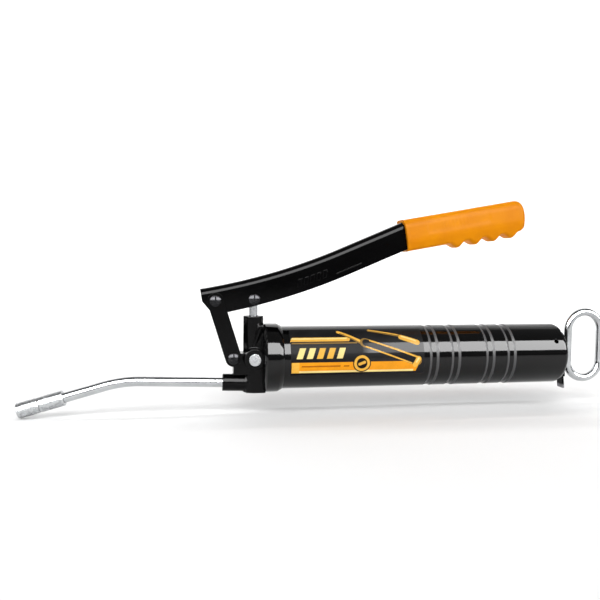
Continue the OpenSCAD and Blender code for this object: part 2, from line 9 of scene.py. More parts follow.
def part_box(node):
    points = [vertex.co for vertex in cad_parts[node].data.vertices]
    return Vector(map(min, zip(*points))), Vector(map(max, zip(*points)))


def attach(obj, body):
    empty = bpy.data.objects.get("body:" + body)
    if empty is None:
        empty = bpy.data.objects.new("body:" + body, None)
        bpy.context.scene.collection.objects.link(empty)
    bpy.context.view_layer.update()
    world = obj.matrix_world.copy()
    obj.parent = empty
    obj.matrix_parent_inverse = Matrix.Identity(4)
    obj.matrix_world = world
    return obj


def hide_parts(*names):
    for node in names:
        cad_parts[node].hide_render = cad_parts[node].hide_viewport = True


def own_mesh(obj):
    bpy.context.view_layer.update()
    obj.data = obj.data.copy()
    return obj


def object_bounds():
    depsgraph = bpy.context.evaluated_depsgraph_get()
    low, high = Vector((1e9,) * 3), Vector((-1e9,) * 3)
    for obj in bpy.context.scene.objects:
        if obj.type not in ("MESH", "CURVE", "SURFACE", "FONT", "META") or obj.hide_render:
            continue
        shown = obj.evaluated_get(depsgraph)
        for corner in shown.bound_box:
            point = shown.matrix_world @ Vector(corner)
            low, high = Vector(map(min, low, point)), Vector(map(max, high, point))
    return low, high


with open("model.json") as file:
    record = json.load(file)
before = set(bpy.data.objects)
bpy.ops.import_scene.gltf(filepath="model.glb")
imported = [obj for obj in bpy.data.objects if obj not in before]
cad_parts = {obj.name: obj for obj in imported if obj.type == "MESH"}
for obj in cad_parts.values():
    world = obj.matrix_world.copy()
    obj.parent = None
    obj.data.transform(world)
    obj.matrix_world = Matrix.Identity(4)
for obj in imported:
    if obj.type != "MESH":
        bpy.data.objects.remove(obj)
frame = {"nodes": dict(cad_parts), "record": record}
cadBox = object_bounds()
print("frame loaded:", len(frame["nodes"]), "nodes")

mm = 0.001


# small helpers for shader nodes
def addNode(tree, kind, **settings):
    node = tree.nodes.new(kind)
    for key, value in settings.items():
        setattr(node, key, value)
    return node


def feed(tree, socket, value):
    # a socket takes a link, and anything else is set as its value
    if isinstance(value, bpy.types.NodeSocket):
        tree.links.new(value, socket)
    else:
        socket.default_value = value


def math2(tree, operation, a, b=0.0, clamp=False):
    node = addNode(tree, "ShaderNodeMath", operation=operation, use_clamp=clamp)
    feed(tree, node.inputs[0], a)
    feed(tree, node.inputs[1], b)
    return node.outputs[0]


def mapRange(tree, value, fromLow, fromHigh, toLow, toHigh):
    node = addNode(tree, "ShaderNodeMapRange")
    for socket, item in zip(node.inputs, (value, fromLow, fromHigh, toLow, toHigh)):
        feed(tree, socket, item)
    return node.outputs[0]


def mixColor(tree, factor, a, b):
    node = addNode(tree, "ShaderNodeMix", data_type="RGBA")
    feed(tree, node.inputs[0], factor)
    feed(tree, node.inputs[6], a)
    feed(tree, node.inputs[7], b)
    return node.outputs[2]


def vectorMath(tree, operation, a, b=None, output="Vector"):
    node = addNode(tree, "ShaderNodeVectorMath", operation=operation)
    feed(tree, node.inputs[0], a)
    if b is not None:
        feed(tree, node.inputs[1], b)
    return node.outputs[output]


def scaleVector(tree, vector, factor):
    node = addNode(tree, "ShaderNodeVectorMath", operation="SCALE")
    feed(tree, node.inputs[0], vector)
    feed(tree, node.inputs["Scale"], factor)
    return node.outputs[0]


def splitVector(tree, vector):
    node = addNode(tree, "ShaderNodeSeparateXYZ")
    feed(tree, node.inputs[0], vector)
    return node.outputs


def objectPlace(tree):
    return addNode(tree, "ShaderNodeTexCoord").outputs["Object"]


def addNoise(tree, vector, scale, detail, roughness=0.5):
    node = addNode(tree, "ShaderNodeTexNoise")
    for label, value in (("Vector", vector), ("Scale", scale), ("Detail", detail), ("Roughness", roughness)):
        feed(tree, node.inputs[label], value)
    return node.outputs[0]


def startGroup(name, inputs, outputs):
    tree = bpy.data.node_groups.new(name, "ShaderNodeTree")
    for label, kind, value in inputs:
        socket = tree.interface.new_socket(label, in_out="INPUT", socket_type=kind)
        if value is not None:
            socket.default_value = value
    for label, kind in outputs:
        tree.interface.new_socket(label, in_out="OUTPUT", socket_type=kind)
    return tree, addNode(tree, "NodeGroupInput").outputs, addNode(tree, "NodeGroupOutput").inputs


def useGroup(tree, group, **values):
    node = addNode(tree, "ShaderNodeGroup", node_tree=group)
    for key, value in values.items():
        feed(tree, node.inputs[key], value)
    return node.outputs


# effects shared by several finishes
effects = {
    "bevelSamples": 4, "edgeRounding": 0.25 * mm, "wearDetail": 4.0, "wearBreak": (0.42, 0.62),
    "grainDetail": (3.0, 2.0), "smudgeDetail": 6.0, "smudgeRoughness": 0.62, "smudgeRange": (0.3, 0.7),
    "scratchDetail": 3.0, "scratchRange": (0.56, 0.72), "scratchDulling": 0.2, "scratchDepth": 0.6,
}


def makeEdgeWear(values):
    # 1 along outside edges, broken up by noise
    tree, given, out = startGroup(
        "edgeWear",
        [("Radius", "NodeSocketFloat", 0.0006), ("Gain", "NodeSocketFloat", 6.0),
         ("Breakup", "NodeSocketFloat", 220.0)],
        [("Mask", "NodeSocketFloat")])
    bevel = addNode(tree, "ShaderNodeBevel", samples=values["bevelSamples"])
    feed(tree, bevel.inputs["Radius"], given["Radius"])
    geometry = addNode(tree, "ShaderNodeNewGeometry")
    dot = vectorMath(tree, "DOT_PRODUCT", bevel.outputs[0], geometry.outputs["Normal"], "Value")
    edge = math2(tree, "MULTIPLY", math2(tree, "SUBTRACT", 1.0, dot), given["Gain"], clamp=True)
    noise = addNoise(tree, objectPlace(tree), given["Breakup"], values["wearDetail"])
    broken = mapRange(tree, noise, *values["wearBreak"], 0.0, 1.0)
    feed(tree, out["Mask"], math2(tree, "MULTIPLY", edge, broken, clamp=True))
    return tree


def makeGrain(values):
    # height of a fine skin on a coarser swell
    tree, given, out = startGroup(
        "surfaceGrain",
        [("Fine", "NodeSocketFloat", 1500.0), ("Coarse", "NodeSocketFloat", 160.0),
         ("Share", "NodeSocketFloat", 0.5)],
        [("Height", "NodeSocketFloat")])
    place = objectPlace(tree)
    fine, coarse = (addNoise(tree, place, given[label], detail)
                    for label, detail in zip(("Fine", "Coarse"), values["grainDetail"]))
    fine = math2(tree, "MULTIPLY", fine, given["Share"])
    coarse = math2(tree, "MULTIPLY", coarse, math2(tree, "SUBTRACT", 1.0, given["Share"]))
    feed(tree, out["Height"], math2(tree, "ADD", fine, coarse))
    return tree


def makeSmudge(values):
    # roughness that drifts between two values, as on a wiped or handled surface
    tree, given, out = startGroup(
        "handledRoughness",
        [("Low", "NodeSocketFloat", 0.1), ("High", "NodeSocketFloat", 0.3),
         ("Scale", "NodeSocketFloat", 30.0)],
        [("Roughness", "NodeSocketFloat"), ("Tone", "NodeSocketFloat")])
    noise = addNoise(tree, objectPlace(tree), given["Scale"], values["smudgeDetail"],
                     values["smudgeRoughness"])
    tone = mapRange(tree, noise, *values["smudgeRange"], 0.0, 1.0)
    feed(tree, out["Roughness"], mapRange(tree, tone, 0.0, 1.0, given["Low"], given["High"]))
    feed(tree, out["Tone"], tone)
    return tree


def makeScratches(values):
    # thin lines, drawn out along the axis with the smallest stretch
    tree, given, out = startGroup(
        "wipeScratches",
        [("Stretch", "NodeSocketVector", (60.0, 2600.0, 2600.0)), ("Amount", "NodeSocketFloat", 0.5)],
        [("Mask", "NodeSocketFloat")])
    drawn = vectorMath(tree, "MULTIPLY", objectPlace(tree), given["Stretch"])
    noise = addNoise(tree, drawn, 1.0, values["scratchDetail"])
    lines = mapRange(tree, noise, *values["scratchRange"], 0.0, 1.0)
    feed(tree, out["Mask"], math2(tree, "MULTIPLY", lines, given["Amount"], clamp=True))
    return tree


edgeWear = makeEdgeWear(effects)
surfaceGrain = makeGrain(effects)
handledRoughness = makeSmudge(effects)
wipeScratches = makeScratches(effects)
print("shared effects built")


# finishes
def startFinish(name, metallic=0.0, **fixed):
    material = bpy.data.materials.new(name)
    material.use_nodes = True
    tree = material.node_tree
    tree.nodes.clear()
    shader = addNode(tree, "ShaderNodeBsdfPrincipled")
    output = addNode(tree, "ShaderNodeOutputMaterial")
    tree.links.new(shader.outputs[0], output.inputs[0])
    shader.inputs["Metallic"].default_value = metallic
    for key, value in fixed.items():
        shader.inputs[key.replace("_", " ")].default_value = value
    return material, tree, shader


def copyFinish(base, name):
    material = finishes[base].copy()
    material.name = name
    shader = [n for n in material.node_tree.nodes if n.type == "BSDF_PRINCIPLED"][0]
    return material, material.node_tree, shader


def bumpInto(tree, shader, height, strength, distance):
    # a narrow rounding on every edge, then the relief on top of it
    bevel = addNode(tree, "ShaderNodeBevel", samples=effects["bevelSamples"])
    bevel.inputs["Radius"].default_value = effects["edgeRounding"]
    bump = addNode(tree, "ShaderNodeBump")
    tree.links.new(bevel.outputs[0], bump.inputs["Normal"])
    bump.inputs["Strength"].default_value = strength
    bump.inputs["Distance"].default_value = distance
    feed(tree, bump.inputs["Height"], height)
    tree.links.new(bump.outputs[0], shader.inputs["Normal"])


def addSmudge(tree, values):
    low, high = values["rough"]
    return useGroup(tree, handledRoughness, Low=low, High=high, Scale=values["drift"])


def addGrain(tree, values):
    fine, coarse, share = values["grain"]
    return useGroup(tree, surfaceGrain, Fine=fine, Coarse=coarse, Share=share)["Height"]


def enamel(name, values):
    # sprayed enamel or a moulded skin: colour, soft drift in gloss, orange peel, pale worn edges
    material, tree, shader = startFinish(name, Specular_IOR_Level=values["specular"])
    smudge = addSmudge(tree, values)
    wear = useGroup(tree, edgeWear, Radius=values["wearRadius"], Gain=values["wearGain"])["Mask"]
    base = mixColor(tree, smudge["Tone"], values["color"], values["colorB"])
    feed(tree, shader.inputs["Base Color"], mixColor(tree, wear, base, values["wearColor"]))
    feed(tree, shader.inputs["Roughness"], smudge["Roughness"])
    bumpInto(tree, shader, addGrain(tree, values), *values["bump"])
    return material


def bareMetal(name, values):
    # plated or plain metal: drift in gloss, wiping lines and slightly darker, duller patches
    material, tree, shader = startFinish(name, metallic=1.0)
    smudge = addSmudge(tree, values)
    lines = useGroup(tree, wipeScratches, Stretch=values["stretch"], Amount=values["lines"])["Mask"]
    base = mixColor(tree, smudge["Tone"], values["color"], values["colorB"])
    feed(tree, shader.inputs["Base Color"], mixColor(tree, lines, base, values["lineColor"]))
    dulled = math2(tree, "MULTIPLY", lines, effects["scratchDulling"])
    feed(tree, shader.inputs["Roughness"], math2(tree, "ADD", smudge["Roughness"], dulled))
    sunk = math2(tree, "MULTIPLY", lines, effects["scratchDepth"])
    bumpInto(tree, shader, math2(tree, "SUBTRACT", addGrain(tree, values), sunk), *values["bump"])
    return material


blackEnamel = {
    "color": (0.001, 0.001, 0.0011, 1), "colorB": (0.0022, 0.0022, 0.0024, 1),
    "wearColor": (0.06, 0.06, 0.062, 1),
    "rough": (0.04, 0.1), "drift": 22.0, "wearRadius": 0.0005, "wearGain": 1.2, "specular": 0.09,
    "grain": (900.0, 140.0, 0.35), "bump": (0.05, 0.0004),
}
castEnamel = {
    "color": (0.0015, 0.0015, 0.0016, 1), "colorB": (0.003, 0.003, 0.0032, 1),
    "wearColor": (0.08, 0.08, 0.083, 1),
    "rough": (0.09, 0.2), "drift": 60.0, "wearRadius": 0.0007, "wearGain": 1.4, "specular": 0.11,
    "grain": (700.0, 240.0, 0.6), "bump": (0.22, 0.0005),
}
gripPlastic = {
    "color": (0.84, 0.29, 0.0008, 1), "colorB": (0.76, 0.24, 0.0006, 1), "wearColor": (0.95, 0.42, 0.03, 1),
    "rough": (0.34, 0.5), "drift": 45.0, "wearRadius": 0.0012, "wearGain": 1.0, "specular": 0.04,
    "grain": (2400.0, 500.0, 0.7), "bump": (0.3, 0.0003),
}
softRubber = {
    "color": (0.012, 0.012, 0.013, 1), "colorB": (0.02, 0.02, 0.021, 1), "wearColor": (0.06, 0.06, 0.06, 1),
    "rough": (0.55, 0.75), "drift": 80.0, "wearRadius": 0.0005, "wearGain": 1.0, "specular": 0.4,
    "grain": (2000.0, 300.0, 0.6), "bump": (0.4, 0.0004),
}
chromePlate = {
    "color": (0.54, 0.55, 0.56, 1), "colorB": (0.42, 0.43, 0.44, 1), "lineColor": (0.24, 0.25, 0.26, 1),
    "rough": (0.07, 0.16), "drift": 70.0, "stretch": (90.0, 2400.0, 2400.0), "lines": 0.35,
    "grain": (1500.0, 260.0, 0.5), "bump": (0.12, 0.0004),
}
zincPlate = {
    "color": (0.6, 0.61, 0.62, 1), "colorB": (0.34, 0.35, 0.36, 1), "lineColor": (0.16, 0.17, 0.18, 1),
    "rough": (0.16, 0.34), "drift": 320.0, "stretch": (1400.0, 1400.0, 1400.0), "lines": 0.6,
    "grain": (1700.0, 600.0, 0.5), "bump": (0.35, 0.0005),
}
plainSteel = {
    "color": (0.5, 0.5, 0.51, 1), "colorB": (0.34, 0.34, 0.35, 1), "lineColor": (0.2, 0.2, 0.21, 1),
    "rough": (0.22, 0.4), "drift": 120.0, "stretch": (120.0, 2200.0, 2200.0), "lines": 0.5,
    "grain": (1800.0, 400.0, 0.5), "bump": (0.25, 0.0004),
}
darkSteel = {
    "color": (0.016, 0.016, 0.017, 1), "colorB": (0.03, 0.03, 0.032, 1),
    "lineColor": (0.08, 0.08, 0.083, 1),
    "rough": (0.16, 0.3), "drift": 200.0, "stretch": (1800.0, 1800.0, 1800.0), "lines": 0.4,
    "grain": (1800.0, 500.0, 0.5), "bump": (0.2, 0.0003),
}
warmBrass = {
    "color": (0.72, 0.48, 0.19, 1), "colorB": (0.56, 0.36, 0.13, 1), "lineColor": (0.3, 0.2, 0.08, 1),
    "rough": (0.2, 0.36), "drift": 160.0, "stretch": (1500.0, 1500.0, 1500.0), "lines": 0.4,
    "grain": (1800.0, 400.0, 0.5), "bump": (0.2, 0.0004),
}
finishes = {}
for name, make, values in (
        ("gloss black enamel", enamel, blackEnamel), ("black cast enamel", enamel, castEnamel),
        ("orange grip", enamel, gripPlastic), ("rubber", enamel, softRubber),
        ("chrome plate", bareMetal, chromePlate), ("zinc plate", bareMetal, zincPlate),
        ("plain steel", bareMetal, plainSteel), ("dark steel", bareMetal, darkSteel),
        ("brass", bareMetal, warmBrass)):
    finishes[name] = make(name, values)

nodeFinish = {
    "barrel": "gloss black enamel", "barrel_label": "gloss black enamel", "lever": "gloss black enamel",
    "link": "gloss black enamel", "latch_bracket": "gloss black enamel", "pump_head": "black cast enamel",
    "lever_grip": "orange grip",
    "head_gasket": "rubber", "plunger_packing": "rubber", "coupler_seal": "rubber", "follower_cup": "rubber",
    "outlet_pipe": "chrome plate", "handle_loop": "chrome plate", "plunger": "chrome plate",
    "follower_rod": "chrome plate", "check_ball": "chrome plate", "bleeder_body": "zinc plate",
    "coupler_body": "zinc plate", "coupler_sleeve": "zinc plate",
    "bleeder_button": "brass", "coupler_piston": "brass", "rod_guide": "brass",
    "link_pin_lower": "dark steel", "link_pin_upper": "dark steel", "plunger_pin": "dark steel",
    "lower_pin_clip": "dark steel", "upper_pin_clip": "dark steel", "plunger_pin_clip": "dark steel",
}
for name, piece in frame["nodes"].items():
    piece.data.materials.clear()
    piece.data.materials.append(finishes[nodeFinish.get(name, "plain steel")])
print("finishes on", len(frame["nodes"]), "nodes")


# building new pieces
def midOf(name):
    low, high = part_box(name)
    return (Vector(low) + Vector(high)) / 2


def turnAboutY(degrees, centre=(0, 0, 0)):
    # a positive angle raises the +X side
    shift = Matrix.Translation(centre)
    return shift @ Matrix.Rotation(math.radians(-degrees), 4, "Y") @ shift.inverted()


def vertsIn(geometry):
    return [g for g in geometry if isinstance(g, bmesh.types.BMVert)]


def edgesIn(geometry):
    return [g for g in geometry if isinstance(g, bmesh.types.BMEdge)]


def sliceMesh(mesh, place, normal, **settings):
    whole = mesh.verts[:] + mesh.edges[:] + mesh.faces[:]
    return bmesh.ops.bisect_plane(mesh, geom=whole, plane_co=place, plane_no=normal, **settings)


def addObject(name, data):
    item = bpy.data.objects.new(name, data)
    bpy.context.collection.objects.link(item)
    return item


def softenEdges(mesh, width, segments=2, sharpest=30.0):
    edges = [e for e in mesh.edges if e.is_manifold and e.calc_face_angle(0) > math.radians(sharpest)]
    bmesh.ops.bevel(mesh, geom=edges, offset=width, offset_type="OFFSET", segments=segments, profile=0.5,
                    affect="EDGES", clamp_overlap=True, material=-1)


def shadeByAngle(data, degrees):
    data.polygons.foreach_set("use_smooth", [True] * len(data.polygons))
    mesh = bmesh.new()
    mesh.from_mesh(data)
    for edge in mesh.edges:
        if edge.is_manifold:
            edge.smooth = edge.calc_face_angle(0) < math.radians(degrees)
    mesh.to_mesh(data)
    mesh.free()


def makePiece(mesh, name, body, finish, stands=(), sharp=40.0, flat=False):
    bmesh.ops.remove_doubles(mesh, verts=mesh.verts, dist=1e-7)
    bmesh.ops.recalc_face_normals(mesh, faces=mesh.faces)
    data = bpy.data.meshes.new(name)
    mesh.to_mesh(data)
    mesh.free()
    shadeByAngle(data, sharp)
    data.materials.append(finishes[finish])
    piece = addObject(name, data)
    if flat:
        # keeps broad faces even up to their softened edges
        piece.modifiers.new("evenFaces", "WEIGHTED_NORMAL").keep_sharp = True
    if stands:
        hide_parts(*stands)
    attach(piece, body)
    return piece


def addRod(mesh, start, end, r1, r2=None, segments=48):
    start, end = Vector(start), Vector(end)
    run = end - start
    place = Matrix.Translation((start + end) / 2) @ run.to_track_quat("Z", "Y").to_matrix().to_4x4()
    bmesh.ops.create_cone(mesh, cap_ends=True, segments=segments, radius1=r1,
                          radius2=r1 if r2 is None else r2, depth=run.length, matrix=place)


def addBlock(mesh, low, high):
    made = bmesh.ops.create_cube(mesh, size=1.0)["verts"]
    low, high = Vector(low), Vector(high)
    bmesh.ops.scale(mesh, verts=made, vec=high - low)
    bmesh.ops.translate(mesh, verts=made, vec=(low + high) / 2)


def lathe(points, steps):
    # points are (x, r) pairs round the X axis, from axis to axis or as a closed ring
    mesh = bmesh.new()
    verts = [mesh.verts.new((x, 0, r)) for x, r in points]
    closed = points[0][1] > 1e-6
    count = len(verts) - (0 if closed else 1)
    edges = [mesh.edges.new((verts[i], verts[(i + 1) % len(verts)])) for i in range(count)]
    bmesh.ops.spin(mesh, geom=verts + edges, cent=(0, 0, 0), axis=(1, 0, 0), angle=math.radians(360),
                   steps=steps, use_merge=True, use_duplicate=False)
    bmesh.ops.remove_doubles(mesh, verts=mesh.verts, dist=1e-6)
    return mesh


def cadCopy(node):
    # a merged copy of a CAD node, with its flat faces joined up again
    mesh = bmesh.new()
    mesh.from_mesh(frame["nodes"][node].data)
    bmesh.ops.remove_doubles(mesh, verts=mesh.verts, dist=2e-6)
    bmesh.ops.dissolve_limit(mesh, angle_limit=math.radians(0.6), verts=mesh.verts, edges=mesh.edges)
    return mesh


# lever: pressed channel with rounded shoulders and stamped pads
lever = {
    "height": 24.6 * mm, "width": 18 * mm, "wall": 2 * mm, "shoulder": 6 * mm, "nose": 11.5 * mm,
    "slope": 9.5,
    "curveRadius": 573 * mm, "curve": 13.5, "straight": 61 * mm, "intoGrip": 6 * mm, "cornerSteps": 6,
    "curveSteps": 28, "sharpest": 40, "padHalf": 0.8 * mm, "padEdge": 0.3 * mm,
    "chamferAt": (4.25 * mm, -6.15 * mm), "chamferSlope": 30.7, "edge": 0.35 * mm,
    # stamped pads: share of the curve, length, height, lean, drop below the middle line
    "pads": ((0.655, 3.6, 6.4, 24, 3.6), (0.7, 3.6, 6.4, 24, 3.6), (0.745, 3.6, 6.4, 24, 3.6),
             (0.79, 3.6, 6.4, 24, 3.6), (0.835, 3.6, 6.4, 24, 3.6), (1.0, 25.0, 1.2, 4, 7.4)),
    "padLift": 0.5 * mm,
}


def archPoints(height, width, corner, steps, lift):
    # an arch with rounded shoulders, as (across, up) pairs from bottom right to bottom left
    right = [(width / 2, -height / 2)]
    for i in range(steps + 1):
        a = math.radians(90 * i / steps)
        right.append((width / 2 - corner * (1 - math.cos(a)), height / 2 - lift - corner * (1 - math.sin(a))))
    return right + [(-across, up) for across, up in reversed(right)]


def leverPlace(along, up, values, start):
    # a point at a share of the curve's length, up from the middle line
    angle = values["slope"] + values["curve"] * along
    a, b = math.radians(values["slope"]), math.radians(angle)
    r = values["curveRadius"]
    centre = Vector((start.x - r * math.sin(a), 0, start.z + r * math.cos(a)))
    return centre + Vector((math.sin(b), 0, -math.cos(b))) * (r - up), angle


def makeLever(values):
    pin = midOf("link_pin_upper")
    a = math.radians(values["slope"])
    start = Vector((pin.x - values["nose"] * math.cos(a), 0, pin.z - values["nose"] * math.sin(a)))
    mesh = bmesh.new()
    outer = archPoints(values["height"], values["width"], values["shoulder"], values["cornerSteps"], 0)
    inner = archPoints(values["height"], values["width"] - 2 * values["wall"],
                       values["shoulder"] - values["wall"], values["cornerSteps"], values["wall"])
    upward = Vector((-math.sin(a), 0, math.cos(a)))
    outline = [mesh.verts.new(start + upward * z + Vector((0, y, 0))) for y, z in outer + inner[::-1]]
    face = mesh.faces.new(outline)
    centre = start + upward * values["curveRadius"]
    section = [face] + list(face.edges) + list(face.verts)
    spun = bmesh.ops.spin(mesh, geom=section, cent=centre, axis=(0, -1, 0),
                          angle=math.radians(values["curve"]), steps=values["curveSteps"],
                          use_merge=False, use_duplicate=False)
    last = [g for g in spun["geom_last"] if isinstance(g, bmesh.types.BMFace)]
    pushed = bmesh.ops.extrude_face_region(mesh, geom=last)
    bmesh.ops.delete(mesh, geom=last, context="FACES_ONLY")
    b = math.radians(values["slope"] + values["curve"])
    run = values["straight"] + values["intoGrip"]
    bmesh.ops.translate(mesh, verts=vertsIn(pushed["geom"]), vec=(run * math.cos(b), 0, run * math.sin(b)))
    along, up = values["chamferAt"]
    onCut = start + Vector((math.cos(a), 0, math.sin(a))) * along + upward * up
    c = math.radians(values["slope"] + values["chamferSlope"])
    cut = sliceMesh(mesh, onCut, (-math.cos(c), 0, -math.sin(c)), clear_outer=True)
    bmesh.ops.edgeloop_fill(mesh, edges=edgesIn(cut["geom_cut"]))
    bmesh.ops.recalc_face_normals(mesh, faces=mesh.faces)
    softenEdges(mesh, values["edge"], sharpest=values["sharpest"])
    for share, length, height, lean, drop in values["pads"]:
        place, angle = leverPlace(share, -drop * mm, values, start)
        pad = bmesh.new()
        half = Vector((length * mm / 2, values["padHalf"], height * mm / 2))
        addBlock(pad, -half, half)
        for v in pad.verts:
            v.co.x += v.co.z * math.tan(math.radians(lean))
        softenEdges(pad, values["padEdge"], segments=3)
        side = -values["width"] / 2 + values["padHalf"] - values["padLift"]
        seat = Matrix.Translation((place.x, side, place.z)) @ turnAboutY(angle)
        bmesh.ops.transform(pad, verts=pad.verts, matrix=seat)
        held = bpy.data.meshes.new("pad")
        pad.to_mesh(held)
        pad.free()
        mesh.from_mesh(held)
        bpy.data.meshes.remove(held)
    makePiece(mesh, "leverChannel", "lever", "gloss black enamel", ["lever"], flat=True)
    return start


leverStart = makeLever(lever)
print("lever built")


# grip: moulded sleeve with side panels and finger bumps
grip = {
    "length": 119.5 * mm, "height": 29.6 * mm, "width": 27 * mm, "slope": 10.3, "corner": 8 * mm,
    "cornerSteps": 7, "slices": 150, "sideCuts": 7, "topCuts": 9, "edge": 0.4 * mm, "sharpest": 60,
    # rear end: how far back it draws in, and the shares of that across the height and the width
    "endRound": 8.5 * mm, "drawHeight": 0.72, "drawWidth": 0.6,
    "bumps": (49.5, 67.8, 86.2, 104.2), "bumpHeight": 4.8 * mm, "bumpHalf": 8.0 * mm,
    "bumpPower": 2.2, "bumpFrom": 0.35, "bumpPinch": 0.16,
    "panel": (21.0, 83.0), "panelDepth": 0.4 * mm, "panelLow": -1.0 * mm, "panelHigh": 11.0 * mm,
    "panelSoft": (1.2, 0.9), "sideBand": (0.78, 0.95),
    "ribs": (33.0, 62.0), "ribPitch": 3.6, "ribHeight": 0.16 * mm, "ribSoft": 1.0,
    "crease": 1.1 * mm, "creaseBand": (-3.0, -11.0),
    "rim": 2.2 * mm, "rimLift": 0.3 * mm, "rimSoft": 0.4, "rimUp": 0.4, "socket": 12 * mm, "lip": 3.6 * mm,
}


def smoothStep(low, high, value):
    t = min(max((value - low) / (high - low), 0.0), 1.0)
    return t * t * (3 - 2 * t)


def between(low, high, value, soft):
    return smoothStep(low - soft, low + soft, value) * (1 - smoothStep(high - soft, high + soft, value))


def gripFront():
    # the middle of the grip's front face, where the lever's curve and straight run end
    place, angle = leverPlace(1.0, 0, lever, leverStart)
    b = math.radians(angle)
    return place + Vector((math.cos(b), 0, math.sin(b))) * lever["straight"]


def gripSurface(values, place):
    # where a point of the plain sleeve goes once its end, bumps, panel and rim are shaped
    u, y, z = place
    um = u / mm
    halfWidth, halfHeight, r = values["width"] / 2, values["height"] / 2, values["endRound"]
    # rear end draws in to a rounded nose
    t = max(0.0, (u - (values["length"] - r)) / r)
    draw = 1 - math.sqrt(max(0.0, 1 - t * t))
    top = max(0.0, z / halfHeight)
    low = max(0.0, -z / halfHeight)
    z -= math.copysign(1, z) * min(abs(z), draw * r * values["drawHeight"])
    y -= math.copysign(1, y) * min(abs(y), draw * r * values["drawWidth"])
    # finger bumps hang from the underside and narrow towards their tips
    bump = max(max(0.0, 1 - ((um - b) * mm / values["bumpHalf"]) ** 2) ** values["bumpPower"]
               for b in values["bumps"])
    if low > values["bumpFrom"]:
        share = smoothStep(values["bumpFrom"], 1.0, low)
        z -= bump * share * values["bumpHeight"]
        y *= 1 - values["bumpPinch"] * bump * share
    # hollowed side panel with faint ribs
    alongSoft, upSoft = values["panelSoft"]
    side = smoothStep(*values["sideBand"], abs(place.y) / halfWidth)
    panel = between(*values["panel"], um, alongSoft)
    panel *= between(values["panelLow"] / mm, values["panelHigh"] / mm, place.z / mm, upSoft)
    ribs = 0.5 + 0.5 * math.cos(2 * math.pi * um / values["ribPitch"])
    ribs *= between(*values["ribs"], um, values["ribSoft"])
    inward = panel * (values["panelDepth"] - ribs * values["ribHeight"])
    # soft crease below the panel, where the flank starts to turn under
    creaseTop, creaseLow = values["creaseBand"]
    under = smoothStep(creaseTop, creaseLow, place.z / mm) if place.z < creaseTop * mm else 0.0
    inward += values["crease"] * under
    y -= math.copysign(1, y) * side * inward
    # flange round the front
    rim, soft = values["rim"] / mm, values["rimSoft"]
    flange = 1 - smoothStep(rim - soft, rim + soft, um)
    y += math.copysign(1, y) * flange * values["rimLift"] * min(1.0, abs(place.y) / halfWidth)
    z += math.copysign(1, z) * flange * values["rimLift"] * values["rimUp"] * max(top, low)
    return u, y, z


def makeGrip(values):
    mesh = bmesh.new()
    length, height, width = values["length"], values["height"], values["width"]
    addBlock(mesh, (0, -width / 2, -height / 2), (length, width / 2, height / 2))
    longEdges = [e for e in mesh.edges if abs(e.verts[0].co.x - e.verts[1].co.x) > length / 2]
    bmesh.ops.bevel(mesh, geom=longEdges, offset=values["corner"], segments=values["cornerSteps"],
                    profile=0.5, affect="EDGES", material=-1)
    # lengthwise cuts across the flats, so that panels and bumps have faces to move
    spans = ((1, width / 2 - values["corner"], values["sideCuts"]),
             (2, height / 2 - values["corner"], values["topCuts"]))
    for axis, span, count in spans:
        for i in range(count):
            at, normal = Vector((0, 0, 0)), Vector((0, 0, 0))
            at[axis] = -span + 2 * span * i / (count - 1)
            normal[axis] = 1
            sliceMesh(mesh, at, normal, dist=1e-6)
    for i in range(1, values["slices"]):
        sliceMesh(mesh, (length * i / values["slices"], 0, 0), (1, 0, 0), dist=1e-7)
    for v in mesh.verts:
        v.co = gripSurface(values, v.co.copy())
    # socket for the lever
    front = [f for f in mesh.faces if f.calc_center_median().x < 1e-6]
    inset = bmesh.ops.inset_region(mesh, faces=front, thickness=values["lip"], use_even_offset=True)
    front = [f for f in mesh.faces if f.calc_center_median().x < 1e-6 and f not in inset["faces"]]
    pushed = bmesh.ops.extrude_face_region(mesh, geom=front)
    bmesh.ops.delete(mesh, geom=front, context="FACES")
    bmesh.ops.translate(mesh, verts=vertsIn(pushed["geom"]), vec=(values["socket"], 0, 0))
    bmesh.ops.recalc_face_normals(mesh, faces=mesh.faces)
    softenEdges(mesh, values["edge"], sharpest=values["sharpest"])
    seat = Matrix.Translation(gripFront()) @ turnAboutY(values["slope"])
    bmesh.ops.transform(mesh, verts=mesh.verts, matrix=seat)
    makePiece(mesh, "gripSleeve", "lever", "orange grip", ["lever_grip"], sharp=50)


makeGrip(grip)
print("grip built")


# pump head: a casting with soft fillets, and a turned collar
head = {
    "pumpX": -25 * mm, "pumpRadius": 9.2 * mm, "pumpTop": 38.4 * mm, "bottom": -31.2 * mm,
    "noseRadius": 7.8 * mm, "noseZ": -23.0 * mm, "noseLength": 28 * mm, "noseTilt": 2.0,
    "lugRadius": 6.5 * mm, "lugWidth": 17 * mm, "lugTop": 5.0 * mm, "lugLow": -14.5 * mm,
    "sideBossRadius": 9.3 * mm, "sideBossReach": 17 * mm, "sideBossZ": 0.5 * mm,
    "feedFrom": (-26.0, -6.2, 9.5), "feedTo": (-18.6, -6.0, 30.0), "feedRadius": 3.2 * mm,
    "feedSpread": 1.3, "backX": -14.5 * mm, "backHeight": 54 * mm, "footFront": 7 * mm, "footBack": 2 * mm,
    "socketFrom": 17, "holePast": 2 * mm, "holeSegments": 64, "smoothFactor": 0.5,
    "voxel": 0.5 * mm, "smooth": 9, "bore": 4.05 * mm, "boreFloor": -12 * mm, "socketRadius": 4.55 * mm,
}
collar = {
    "front": -17 * mm, "radius": 31.2 * mm, "frontBevel": 2.4 * mm, "rearStart": -4 * mm,
    "rearRadius": 29.3 * mm,
    "bore": 28.56 * mm, "wall": 4.5 * mm, "steps": 128,
}


